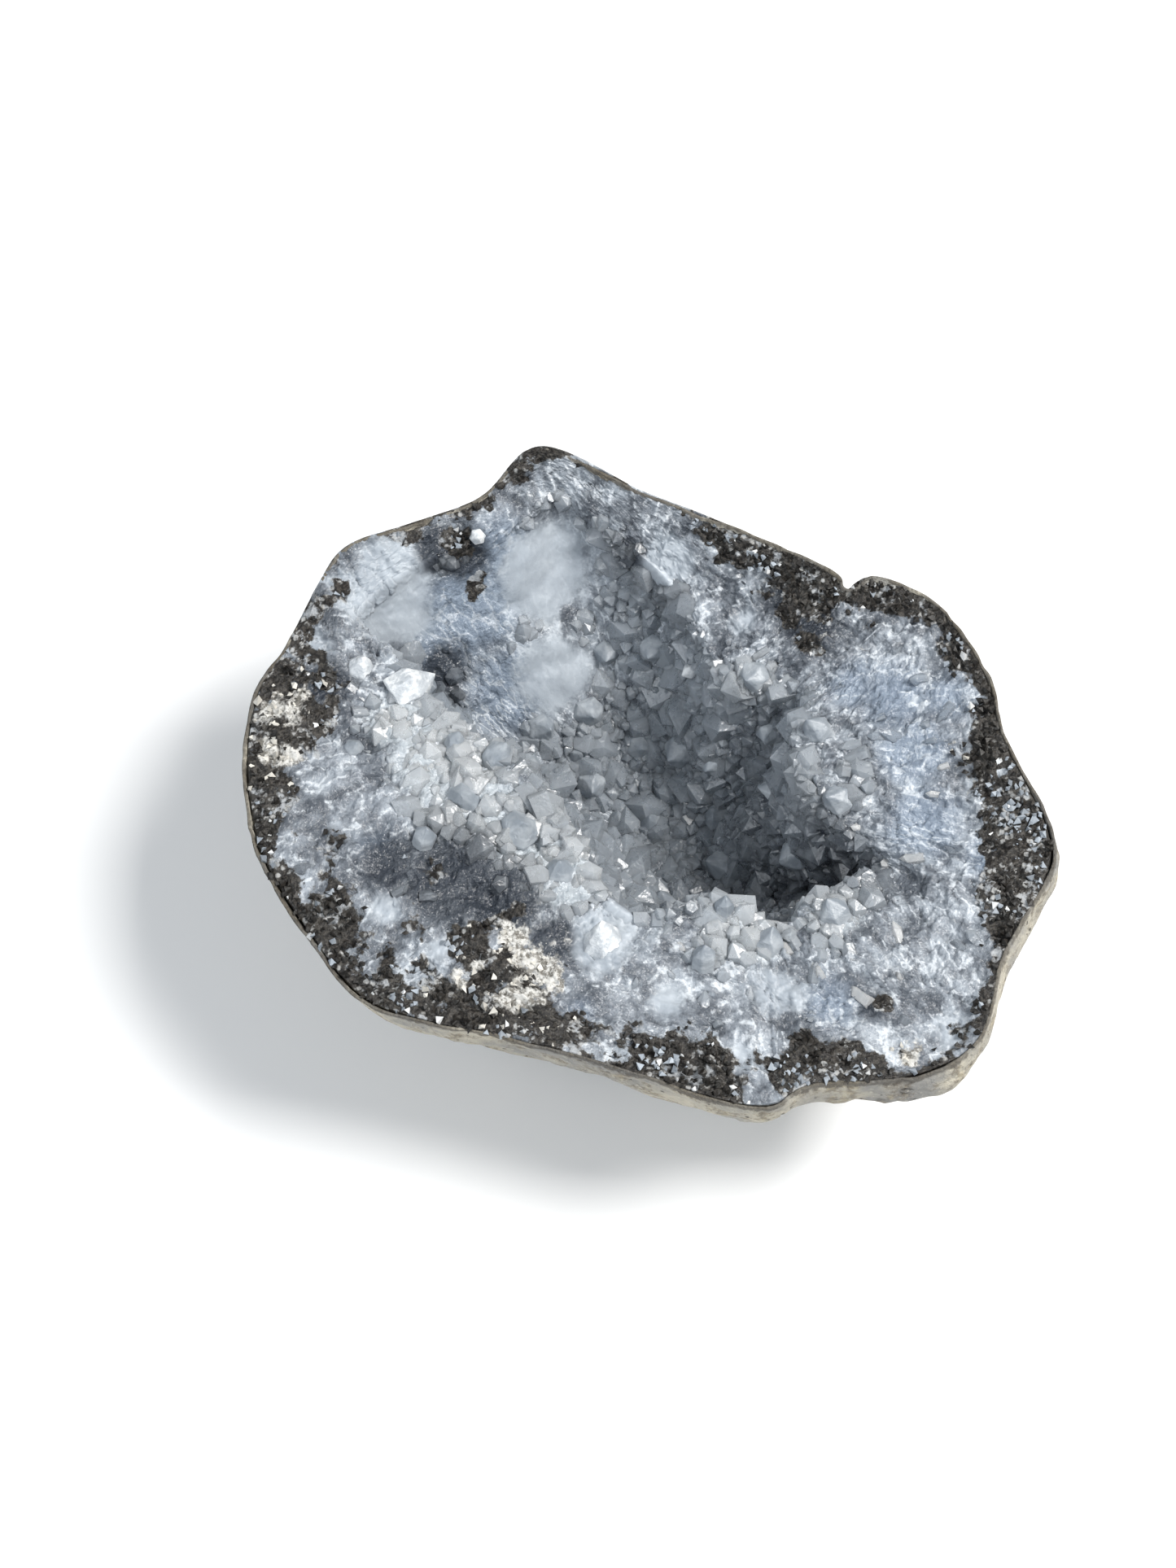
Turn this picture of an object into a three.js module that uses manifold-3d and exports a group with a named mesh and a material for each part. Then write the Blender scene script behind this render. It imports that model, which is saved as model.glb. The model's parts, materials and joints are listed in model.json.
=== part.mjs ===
// Half of a chalcedony geode: a lumpy nodule broken open, with a dark band and a wide face of quartz round
// a deep hollow, and the large quartz crystals that stand in the hollow and along its lip.
// Millimetres, +Z up out of the hollow. X runs along the stone, and Y from its low edge to its high edge.

import * as THREE from 'three';
import { mergeVertices } from 'three/addons/utils/BufferGeometryUtils.js';
import Module from 'manifold-3d';

const wasm = await Module();
wasm.setup();

// Driving dimensions

const floorHeight = 8; // lowest point of the hollow above the surface that the stone lies on
const hollowMiddle = new THREE.Vector3(4, -3, floorHeight);
const baseMiddle = new THREE.Vector3(-1, -5, 0);
const bellyBulge = 0.05; // swell of the rind past the broken edge, at its low and high sides, by its reach
const lumpHeight = 0.7; // lumps of the rind
const rindWave = 17; // their length
const rippleHeight = 0.5; // ripples of the broken face and of the hollow
const insideWave = 10; // their length
const undercut = 0.5; // how much steeper the hollow is under the low lip than opposite it
const socketGap = 0.35; // between a crystal and the socket that it sits in
const rootShare = 0.5; // the part of a crystal's length that is sunk in its socket
const flatness = 0.86; // a crystal's breadth across, as a share of its width
const shortestPoint = 0.3; // the part of a crystal's length that is its six-sided point
const pointStep = 0.08; // by which the points of neighbours differ
const twist = 0.5; // radians between one crystal's faces and the next one's

// The corners of the broken edge, clockwise from the highest one. Each row is a corner of the outer rim and
// the point of the hollow's lip that it faces.

const edge = [
  [[-12, 33, 41], [-10, 29, 37]],
  [[0, 28, 39], [-2, 24, 34]],
  [[8, 25, 38], [3, 20, 32]],
  [[21, 18, 38], [7, 13, 30]],
  [[23, 16, 37], [10, 8, 29]],
  [[26, 17, 38], [16, 7, 30]],
  [[33, 14, 37], [19, 5, 31]],
  [[38, 6, 36], [17, 1, 31]],
  [[40, -3, 35], [17, -4, 31]],
  [[44, -14, 34], [19, -9, 30]],
  [[43, -20, 33], [23, -12, 29]],
  [[38, -28, 32], [26, -15, 28]],
  [[35, -37, 30], [22, -18, 29]],
  [[28, -41, 29], [18, -20, 29]],
  [[17, -42, 29], [14, -23, 28]],
  [[10, -44, 28], [8, -20, 29]],
  [[-10, -38, 29], [-1, -22, 29]],
  [[-23, -35, 29], [-6, -18, 30]],
  [[-31, -32, 29], [-9, -12, 31]],
  [[-37, -25, 30], [-12, -7, 32]],
  [[-43, -15, 31], [-15, -3, 32]],
  [[-45, -4, 32], [-20, -1, 32]],
  [[-44, 5, 33], [-24, 3, 32]],
  [[-41, 10, 34], [-28, 9, 32]],
  [[-37, 18, 36], [-33, 14, 33]],
  [[-34, 22, 37], [-30, 18, 34]],
  [[-27, 25, 37], [-25, 21, 35]],
  [[-19, 28, 38], [-17, 24, 36]],
];

// Rings of the rind, from the flat that it lies on to just under the rim: share of the rim's reach from
// the middle of the base, and share of its height.
const rindRings = [[0.3, 0], [0.46, 0.05], [0.68, 0.24], [0.86, 0.52], [0.97, 0.82]];

// Rings of the hollow, from just under the lip to its floor: share of the way in to the middle, and of the
// way down.
const hollowRings = [[0.03, 0.13], [0.2, 0.42], [0.45, 0.74], [0.72, 0.93], [1, 1]];

const columns = edge.length * 3;
const rindRows = 10;
const faceRows = 4;
const hollowRows = 10;

// The stone's skin

function closedCurve(points) {
  return new THREE.CatmullRomCurve3(points.map((p) => new THREE.Vector3(...p)), true, 'catmullrom', 0.5);
}

const rimCurve = closedCurve(edge.map((row) => row[0]));
const lipCurve = closedCurve(edge.map((row) => row[1]));

// How far a point lies towards a compass direction (degrees from +X) seen from a middle: 0 behind it, 1
// straight on.
function facing(point, middle, degrees) {
  const angle = THREE.MathUtils.degToRad(degrees);
  const reach = Math.hypot(point.x - middle.x, point.y - middle.y);
  const along = (point.x - middle.x) * Math.cos(angle) + (point.y - middle.y) * Math.sin(angle);
  return 0.5 + (0.5 * along) / reach;
}

function rindCurve(turn) {
  const rim = rimCurve.getPoint(turn);
  const swell = facing(rim, baseMiddle, -30) ** 4 + facing(rim, baseMiddle, 100) ** 3;
  const bulge = 1 + bellyBulge * swell;
  const points = rindRings.map(([reach, height]) => {
    const point = baseMiddle.clone().lerp(rim, reach > 0.9 ? reach * bulge : reach);
    point.z = height * rim.z;
    return point;
  });
  return new THREE.CatmullRomCurve3([...points, rim], false, 'catmullrom', 0.5);
}

function hollowCurve(turn) {
  const lip = lipCurve.getPoint(turn);
  const steep = undercut * facing(lip, hollowMiddle, -60);
  const points = hollowRings.map(([inward, down]) => {
    const point = lip.clone().lerp(hollowMiddle, inward * (1 - steep * (1 - inward)));
    point.z = THREE.MathUtils.lerp(lip.z, floorHeight, down);
    return point;
  });
  return new THREE.CatmullRomCurve3([lip, ...points], false, 'catmullrom', 0.5);
}

// Smooth lumps: a product of slow waves through space, from -1 to 1.
function lumps(point, wave) {
  const { x, y, z } = point.clone().multiplyScalar((2 * Math.PI) / wave);
  return Math.sin(x + 1.3 * Math.sin(y)) * Math.sin(y + 0.7 * z + 1) * Math.cos(0.8 * z + 0.5 * x);
}

// A point of the rind: level 0 at the edge of the flat that the stone lies on, 1 at the rim.
function rindPoint(turn, level) {
  const point = rindCurve(turn).getPoint(level);
  const out = point.clone().sub(baseMiddle).setZ(0).normalize();
  return point.addScaledVector(out, lumpHeight * Math.sin(Math.PI * level) * lumps(point, rindWave));
}

// A point of the inside: level -1 at the rim, 0 at the lip, 1 at the middle of the hollow's floor.
function insidePoint(turn, level) {
  if (level <= 0) {
    const point = rimCurve.getPoint(turn).lerp(lipCurve.getPoint(turn), level + 1);
    point.z += rippleHeight * Math.sin(-Math.PI * level) * lumps(point, insideWave);
    return point;
  }
  const point = hollowCurve(turn).getPoint(level);
  point.z += rippleHeight * Math.sin(Math.PI * level) * lumps(point, insideWave);
  return point;
}

// The closed skin: one fan on the flat, rows of quads over the rind, the face and the hollow, and one fan
// on the hollow's floor.
function stoneGeometry() {
  const rows = [];
  const ring = (pointAt, level) => {
    rows.push(Array.from({ length: columns }, (_, i) => pointAt(i / columns, level)));
  };
  for (let i = 0; i < rindRows; i += 1) ring(rindPoint, i / rindRows);
  for (let i = 0; i < faceRows; i += 1) ring(insidePoint, i / faceRows - 1);
  for (let i = 0; i < hollowRows; i += 1) ring(insidePoint, i / hollowRows);

  const points = [baseMiddle, ...rows.flat(), hollowMiddle];
  const last = points.length - 1;
  const at = (row, column) => 1 + row * columns + (column % columns);
  const faces = [];
  for (let i = 0; i < columns; i += 1) {
    faces.push(0, at(0, i), at(0, i + 1));
    for (let row = 0; row < rows.length - 1; row += 1) {
      faces.push(at(row, i), at(row + 1, i + 1), at(row, i + 1));
      faces.push(at(row, i), at(row + 1, i), at(row + 1, i + 1));
    }
    faces.push(at(rows.length - 1, i), last, at(rows.length - 1, i + 1));
  }
  const geometry = new THREE.BufferGeometry().setFromPoints(points);
  geometry.setIndex(faces);
  return geometry;
}

// Crystals

// A six-sided prism with a six-sided point, standing up Y from its root, and a little flat across.
function quartzGeometry(radius, length, point, grow = 0) {
  const outline = [
    [0, -grow],
    [radius + grow, -grow],
    [radius + grow, length * (1 - point) + grow],
    [0, length + 2 * grow],
  ];
  const geometry = new THREE.LatheGeometry(outline.map((p) => new THREE.Vector2(...p)), 6);
  geometry.scale(1, 1, flatness);
  return geometry;
}

// Large crystals of each kind, one row each: corner of the edge (2.5 is halfway from row 2 to row 3) and
// level on the inside, which say where it stands; radius and length; and how far it leans from the skin's
// own direction, towards X and Y.
const floorCrystals = [
  [26, 0.75, 2, 7, 0, -0.8],
  [24.5, 0.65, 2.2, 6, 0.2, 0],
  [0.5, 0.7, 2.2, 6, 0.3, -0.2],
  [2.5, 0.6, 2.4, 6.5, 0, -0.5],
  [27, 0.9, 1.8, 5, -0.2, 0],
  [5, 0.75, 2, 5.5, 0, 0.2],
  [9, 0.8, 2.3, 6.5, -0.2, 0.4],
  [16, 0.8, 2.1, 5, -0.3, 0],
];
const wallCrystals = [
  [26, 0.6, 2.1, 5.5, 0.3, -0.2],
  [27.25, 0.6, 2.3, 5.5, 0, -0.3],
  [0.25, 0.5, 2.1, 5.5, 0.2, -0.4],
  [7.5, 0.4, 1.9, 5, -0.2, 0.2],
  [5, 0.35, 1.8, 5, 0, -0.4],
  [4, 0.5, 1.8, 5, 0, 0],
  [1.5, 0.4, 2.5, 6, 0, -0.3],
  [24.25, 0.4, 2.3, 5, 0.2, 0],
  [9.25, 0.45, 2.3, 5.5, -0.2, 0.3],
];
const lipCrystals = [
  [20, -0.05, 2.2, 6, 0.5, 0.2],
  [20.75, -0.1, 1.4, 5, 0.4, 0.3],
  [19.5, -0.25, 2.5, 5.5, 0, -0.2],
  [18.5, -0.15, 2.6, 6, 0.2, 0],
  [19.25, -0.45, 1.6, 5, 0.2, 0.2],
  [17.5, -0.1, 2.2, 5, 0, 0.2],
  [21, -0.5, 1.3, 4, 0, 0],
  [15, -0.05, 1.3, 5.5, 0, 0.5],
  [15.25, -0.3, 1.5, 6, 0, 0.2],
  [14.25, -0.1, 2, 5.5, 0, 0.5],
  [12.75, -0.1, 2.2, 5.5, -0.4, 0.4],
  [8.75, -0.1, 2.4, 5.5, -0.5, 0],
  [7.25, -0.1, 2, 5.5, -0.5, 0],
  [4.25, -0.1, 2.3, 6, -0.5, -0.2],
];
const milkyCrystals = [
  [22.5, 0, 2.6, 6, 0.2, 0.1],
  [22.75, -0.35, 2, 5, 0, 0.1],
  [16.25, -0.2, 2.8, 6, 0, 0.3],
  [2.75, 0.3, 1.1, 4.5, -0.3, -0.4],
  [26.75, -0.1, 1.1, 3.2, 0.1, -0.3],
];

const colours = { rind: 0x8b8e92, clear: 0x9aa3ad, milky: 0xd9dde1 };

function crystals(kind, rows, colour, roughness) {
  return rows.map(([corner, level, radius, length, leanX, leanY], i) => {
    const turn = corner / edge.length;
    const foot = insidePoint(turn, level);
    const along = insidePoint(turn, level + 0.01).sub(foot);
    const across = insidePoint(turn + 0.001, level).sub(foot);
    const axis = along.cross(across).normalize().add(new THREE.Vector3(leanX, leanY, 0)).normalize();
    const point = shortestPoint + pointStep * (i % 3);
    const material = new THREE.MeshStandardMaterial({ color: colour, roughness, metalness: 0 });
    const mesh = new THREE.Mesh(quartzGeometry(radius, length, point), material);
    mesh.name = `${kind}_crystal_${String(i + 1).padStart(2, '0')}`;
    mesh.position.copy(foot).addScaledVector(axis, -rootShare * length);
    mesh.quaternion.setFromUnitVectors(new THREE.Vector3(0, 1, 0), axis);
    mesh.rotateY(twist * i);
    mesh.updateMatrix();
    const socket = quartzGeometry(radius, length, point, socketGap).applyMatrix4(mesh.matrix);
    return { mesh, socket };
  });
}

// Cutting the sockets

function toManifold(geometry) {
  const bare = geometry.clone();
  bare.deleteAttribute('normal');
  bare.deleteAttribute('uv');
  const merged = mergeVertices(bare);
  const index = [...merged.index.array];
  const triangles = [];
  for (let i = 0; i < index.length; i += 3) {
    const [a, b, c] = index.slice(i, i + 3);
    if (a !== b && b !== c && c !== a) triangles.push(a, b, c);
  }
  return new wasm.Manifold(new wasm.Mesh({
    numProp: 3,
    vertProperties: new Float32Array(merged.attributes.position.array),
    triVerts: new Uint32Array(triangles),
  }));
}

function toGeometry(solid) {
  const mesh = solid.getMesh();
  const geometry = new THREE.BufferGeometry();
  geometry.setAttribute('position', new THREE.BufferAttribute(mesh.vertProperties, 3));
  geometry.setIndex(new THREE.BufferAttribute(mesh.triVerts, 1));
  return geometry;
}

// Putting it together

const grown = [
  ...crystals('floor', floorCrystals, colours.clear, 0.2),
  ...crystals('wall', wallCrystals, colours.clear, 0.2),
  ...crystals('lip', lipCrystals, colours.clear, 0.15),
  ...crystals('milky', milkyCrystals, colours.milky, 0.4),
];
let stone = toManifold(stoneGeometry());
for (const { socket } of grown) stone = stone.subtract(toManifold(socket));

const shellMaterial = new THREE.MeshStandardMaterial({ color: colours.rind, roughness: 0.75, metalness: 0 });
const shell = new THREE.Mesh(toGeometry(stone), shellMaterial);
shell.name = 'geode_shell';

// The whole stone, moved so that the middle of its box lies over the origin and its flat at z = 0.
const geode = new THREE.Group();
geode.add(shell, ...grown.map(({ mesh }) => mesh));
const box = new THREE.Box3().setFromObject(geode, true);
const middle = box.getCenter(new THREE.Vector3());
geode.position.set(-middle.x, -middle.y, -box.min.z);

export default geode;
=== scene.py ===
"""Half of a chalcedony geode: rind, broken face with its dark band, lined hollow and quartz.

The stone and its small crystals are worked out in millimetres round the stone's own middle, and then set
into the box of the CAD stone. Each large crystal is set in the place of its own CAD node.
"""
import json
import math
from itertools import product

import bpy
import numpy as np
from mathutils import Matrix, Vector


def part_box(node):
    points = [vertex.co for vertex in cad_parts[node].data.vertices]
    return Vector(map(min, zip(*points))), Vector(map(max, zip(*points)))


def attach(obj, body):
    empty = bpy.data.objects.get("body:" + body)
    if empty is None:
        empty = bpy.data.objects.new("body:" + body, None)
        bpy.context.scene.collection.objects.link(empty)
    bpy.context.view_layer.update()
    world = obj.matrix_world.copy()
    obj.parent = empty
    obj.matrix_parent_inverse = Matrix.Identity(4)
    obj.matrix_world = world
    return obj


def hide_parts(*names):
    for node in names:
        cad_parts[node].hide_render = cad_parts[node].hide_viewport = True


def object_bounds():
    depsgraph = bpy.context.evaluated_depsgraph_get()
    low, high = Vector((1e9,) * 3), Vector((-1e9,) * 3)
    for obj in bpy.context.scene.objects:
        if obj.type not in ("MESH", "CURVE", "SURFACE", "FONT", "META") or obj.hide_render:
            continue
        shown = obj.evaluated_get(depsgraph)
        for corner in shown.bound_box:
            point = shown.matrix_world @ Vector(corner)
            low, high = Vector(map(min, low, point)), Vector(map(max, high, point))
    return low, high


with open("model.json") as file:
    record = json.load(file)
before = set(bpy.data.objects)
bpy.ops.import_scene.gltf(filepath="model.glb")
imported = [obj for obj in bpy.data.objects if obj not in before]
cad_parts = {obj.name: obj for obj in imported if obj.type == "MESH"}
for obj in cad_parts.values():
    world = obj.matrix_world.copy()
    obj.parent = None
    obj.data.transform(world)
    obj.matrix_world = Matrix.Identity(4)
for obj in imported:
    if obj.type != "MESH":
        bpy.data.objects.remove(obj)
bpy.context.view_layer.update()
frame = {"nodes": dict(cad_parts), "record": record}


# The stone's skin
# A nodule of chalcedony, broken open. Its shape hangs on the broken edge: the outer rim of the rind, and
# the lip of the hollow that faces it. The rind swells out below the rim, and the hollow's walls run in
# from the lip.

STONE = "geode_shell"
FLOOR_HEIGHT = 8.0
HOLLOW_MIDDLE = np.array([4.0, -3.0, FLOOR_HEIGHT])
BASE_MIDDLE = np.array([-1.0, -5.0, 0.0])
BELLY_BULGE = 0.05
SWELLS_FROM = 0.9
UNDERCUT = 0.5
RIND_LUMPS, RIND_WAVE = 0.7, 17.0
INSIDE_RIPPLE, INSIDE_WAVE = 0.5, 10.0

# The corners of the broken edge, clockwise from the highest: one of the rim, and the point of the lip
# that it faces.
EDGE = np.array([
    [[-12, 33, 41], [-10, 29, 37]], [[0, 28, 39], [-2, 24, 34]], [[8, 25, 38], [3, 20, 32]],
    [[21, 18, 38], [7, 13, 30]], [[23, 16, 37], [10, 8, 29]], [[26, 17, 38], [16, 7, 30]],
    [[33, 14, 37], [19, 5, 31]], [[38, 6, 36], [17, 1, 31]], [[40, -3, 35], [17, -4, 31]],
    [[44, -14, 34], [19, -9, 30]], [[43, -20, 33], [23, -12, 29]], [[38, -28, 32], [26, -15, 28]],
    [[35, -37, 30], [22, -18, 29]], [[28, -41, 29], [18, -20, 29]], [[17, -42, 29], [14, -23, 28]],
    [[10, -44, 28], [8, -20, 29]], [[-10, -38, 29], [-1, -22, 29]], [[-23, -35, 29], [-6, -18, 30]],
    [[-31, -32, 29], [-9, -12, 31]], [[-37, -25, 30], [-12, -7, 32]], [[-43, -15, 31], [-15, -3, 32]],
    [[-45, -4, 32], [-20, -1, 32]], [[-44, 5, 33], [-24, 3, 32]], [[-41, 10, 34], [-28, 9, 32]],
    [[-37, 18, 36], [-33, 14, 33]], [[-34, 22, 37], [-30, 18, 34]], [[-27, 25, 37], [-25, 21, 35]],
    [[-19, 28, 38], [-17, 24, 36]],
], dtype=float)
STATIONS = len(EDGE)

# Rings of the rind (share of the rim's reach, share of its height) and of the hollow (share in, share
# down).
RIND_RINGS = [(0.3, 0.0), (0.46, 0.05), (0.68, 0.24), (0.86, 0.52), (0.97, 0.82)]
HOLLOW_RINGS = [(0.03, 0.13), (0.2, 0.42), (0.45, 0.74), (0.72, 0.93), (1.0, 1.0)]


def spline(knots, place, closed=False):
    """Catmull-Rom curve: the cubic between two knots that leaves each one along half the way from the
    knot before it to the knot after it. With one column of knots for each point, every point follows its
    own curve."""
    first = np.floor(place).astype(int)
    if closed:
        picks = [(first + step) % len(knots) for step in (-1, 0, 1, 2)]
    else:
        first = np.clip(first, 0, len(knots) - 2)
        knots = np.concatenate([[2 * knots[0] - knots[1]], knots, [2 * knots[-1] - knots[-2]]])
        picks = [first + step for step in range(4)]
    own = (np.arange(len(place)),) if knots.ndim == 3 else ()
    before, start, end, after = (knots[(pick, *own)] for pick in picks)
    part = (place - first).reshape((-1,) + (1,) * (start.ndim - 1))
    turn_in = 2 * before - 5 * start + 4 * end - after + part * (3 * (start - end) + after - before)
    return start + 0.5 * part * (end - before + part * turn_in)


def facing(points, middle, degrees):
    """Half of one plus the cosine of the angle between a point's direction from the middle and a compass
    one."""
    away = points[:, :2] - middle[:2]
    angle = math.radians(degrees)
    return 0.5 + 0.5 * (away @ [math.cos(angle), math.sin(angle)]) / np.linalg.norm(away, axis=1)


def lumps(points, wave):
    """A product of three slow waves through space."""
    x, y, z = (points * 2 * math.pi / wave).T
    return np.sin(x + 1.3 * np.sin(y)) * np.sin(y + 0.7 * z + 1) * np.cos(0.8 * z + 0.5 * x)


def rind_at(turn, level):
    """Points of the rind, from level 0 at the edge of the flat that it lies on to 1 at the rim: a curve
    up through the rings, pushed out by the lumps in the middle."""
    rim = spline(EDGE[:, 0], turn * STATIONS, closed=True)
    swell = 1 + BELLY_BULGE * (facing(rim, BASE_MIDDLE, -30) ** 4 + facing(rim, BASE_MIDDLE, 100) ** 3)
    rings = []
    for reach, height in RIND_RINGS:
        spread_out = reach * swell if reach > SWELLS_FROM else np.full(len(rim), reach)
        ring = BASE_MIDDLE + (rim - BASE_MIDDLE) * spread_out[:, None]
        ring[:, 2] = height * rim[:, 2]
        rings.append(ring)
    knots = np.array(rings + [rim])
    points = spline(knots, level * (len(knots) - 1))
    out = (points - BASE_MIDDLE) * [1, 1, 0]
    out /= np.linalg.norm(out, axis=1, keepdims=True)
    return points + out * (RIND_LUMPS * np.sin(math.pi * level) * lumps(points, RIND_WAVE))[:, None]


def inside_at(turn, level):
    """Points of the inside: straight across the broken face from level -1 at the rim to 0 at the lip,
    then down the curve through the hollow's rings to 1 at the middle of its floor, with slow ripples in
    height."""
    rim, lip = (spline(EDGE[:, side], turn * STATIONS, closed=True) for side in (0, 1))
    across = rim + (lip - rim) * (1 + level)[:, None]
    steep = UNDERCUT * facing(lip, HOLLOW_MIDDLE, -60)
    rings = [lip]
    for inward, down in HOLLOW_RINGS:
        ring = lip + (HOLLOW_MIDDLE - lip) * (inward * (1 - steep * (1 - inward)))[:, None]
        ring[:, 2] = lip[:, 2] + (FLOOR_HEIGHT - lip[:, 2]) * down
        rings.append(ring)
    knots = np.array(rings)
    below = spline(knots, np.clip(level, 0, 1) * (len(knots) - 1))
    points = np.where((level <= 0)[:, None], across, below)
    points[:, 2] += INSIDE_RIPPLE * np.abs(np.sin(math.pi * level)) * lumps(points, INSIDE_WAVE)
    return points


def skin_frame(shape, turn, level):
    """A skin's points and its unit normals, from the cross product of small steps round and along it."""
    points = shape(turn, level)
    around = shape(turn + 0.001, level) - points
    along = shape(turn, level - 0.01) - points
    normal = np.cross(around, along)
    return points, normal / np.maximum(np.linalg.norm(normal, axis=1, keepdims=True), 1e-9)


def grid(levels, columns):
    """Turn and level of every point of a grid, row by row."""
    turn, level = np.meshgrid(np.arange(columns) / columns, levels)
    return turn.ravel(), level.ravel()


ROUGH_ROWS, ROUGH_COLUMNS = 60, 480
coarse = np.concatenate([rind_at(*grid(np.linspace(0, 1, ROUGH_ROWS), ROUGH_COLUMNS)),
                         inside_at(*grid(np.linspace(-1, 1, ROUGH_ROWS), ROUGH_COLUMNS))])
raw_low, raw_high = coarse.min(0), coarse.max(0)
cad_low, cad_high = (np.array(corner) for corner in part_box(STONE))
STRETCH = (cad_high - cad_low) / (raw_high - raw_low)


def settle(points):
    """Millimetre points moved and stretched from the drawn stone's box to the CAD stone's, and kept
    inside it."""
    return np.clip(cad_low + (points - raw_low) * STRETCH, cad_low, cad_high)


def lattice(cell, salt):
    """A fixed number from 0 to 1 for each whole-number cell: its indices are multiplied, added and
    folded."""
    mixed = cell[..., 0] * 374761393 + cell[..., 1] * 668265263
    mixed += cell[..., 2] * 1442695041 + salt * 1274126177
    mixed &= 0xFFFFFFFF
    mixed = ((mixed ^ (mixed >> 13)) * 1274126177) & 0xFFFFFFFF
    return ((mixed ^ (mixed >> 16)) & 0xFFFFFF) / 0xFFFFFF


def cloud(points, size, salt):
    """Smooth noise from 0 to 1: the lattice's numbers at the corners of each cell, blended by an S
    curve."""
    place = points / size
    cell = np.floor(place).astype(np.int64)
    part = place - cell
    part = part * part * (3 - 2 * part)
    total = np.zeros(len(points))
    for corner in product((0, 1), repeat=3):
        share = np.prod(np.where(corner, part, 1 - part), axis=1)
        total += share * lattice(cell + corner, salt)
    return total


def chips(points, size, salt):
    """Broken facets: each point belongs to the nearest of one random centre per cell. Returns its height,
    which is its offset from that centre along the centre's own random slope, and its distance from the
    centre."""
    place = points / size
    cell = np.floor(place).astype(np.int64)
    nearest = np.full(len(points), 9.0)
    height = np.zeros(len(points))
    for corner in product((-1, 0, 1), repeat=3):
        other = cell + corner
        centre = np.stack([lattice(other, salt + axis) for axis in range(3)], axis=1)
        away = place - other - centre
        distance = np.einsum("ij,ij->i", away, away)
        slope = np.stack([lattice(other, salt + axis) for axis in range(3, 6)], axis=1) - 0.5
        closer = distance < nearest
        nearest = np.where(closer, distance, nearest)
        height = np.where(closer, np.einsum("ij,ij->i", away, 2 * slope), height)
    return np.clip(height, -1, 1), np.sqrt(nearest)


def build(name, points, triangles, finish, smooth=False, **fields):
    """A closed mesh object from arrays. If the sum of its triangles' signed volumes is negative, they are
    all turned over. Each field becomes an attribute: one number for each point, or one colour."""
    corners = points[triangles]
    if np.einsum("ij,ij->", corners[:, 0], np.cross(corners[:, 1], corners[:, 2])) < 0:
        triangles = triangles[:, ::-1]
    mesh = bpy.data.meshes.new(name)
    mesh.vertices.add(len(points))
    mesh.vertices.foreach_set("co", points.astype(np.float32).ravel())
    mesh.loops.add(triangles.size)
    mesh.loops.foreach_set("vertex_index", triangles.astype(np.int32).ravel())
    mesh.polygons.add(len(triangles))
    mesh.polygons.foreach_set("loop_start", np.arange(0, triangles.size, 3, dtype=np.int32))
    mesh.update(calc_edges=True)
    for field, values in fields.items():
        if values.ndim == 1:
            layer = mesh.attributes.new(field, "FLOAT", "POINT")
            layer.data.foreach_set("value", values.astype(np.float32))
        else:
            layer = mesh.attributes.new(field, "FLOAT_COLOR", "POINT")
            colour = np.concatenate([values, np.ones((len(values), 1))], axis=1)
            layer.data.foreach_set("color", colour.astype(np.float32).ravel())
    if smooth:
        mesh.shade_smooth()
    else:
        mesh.shade_flat()
    mesh.materials.append(finish)
    piece = bpy.data.objects.new(name, mesh)
    bpy.context.scene.collection.objects.link(piece)
    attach(piece, "root")
    return piece


def wrap(rows, columns, ends):
    """Triangles of a grid whose columns close round. With ends, its first and last rows are closed by
    fans from two extra points; without, its last row joins its first."""
    row, column = np.meshgrid(np.arange(rows - 1 if ends else rows), np.arange(columns), indexing="ij")
    row, column = row.ravel(), column.ravel()
    beside = (column + 1) % columns
    above = (row + 1) % rows
    a, b = row * columns + column, row * columns + beside
    c, d = above * columns + beside, above * columns + column
    parts = [np.stack([a, b, c], axis=1), np.stack([a, c, d], axis=1)]
    if ends:
        ring = np.arange(columns)
        following = (ring + 1) % columns
        first, last = rows * columns, rows * columns + 1
        top = (rows - 1) * columns
        parts.append(np.stack([np.full(columns, first), following, ring], axis=1))
        parts.append(np.stack([np.full(columns, last), top + ring, top + following], axis=1))
    return np.concatenate(parts)


class Value:
    """A number or colour in a shader. Arithmetic on a number adds the Math node that does it."""

    def __init__(self, finish, socket):
        self.finish, self.socket = finish, socket

    def sum(self, operation, first, second):
        return self.finish.node("Math", {"operation": operation}, {0: first, 1: second})

    def __add__(self, other):
        return self.sum("ADD", self, other)

    def __sub__(self, other):
        return self.sum("SUBTRACT", self, other)

    def __rsub__(self, other):
        return self.sum("SUBTRACT", other, self)

    def __mul__(self, other):
        return self.sum("MULTIPLY", self, other)

    __radd__, __rmul__ = __add__, __mul__


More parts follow.
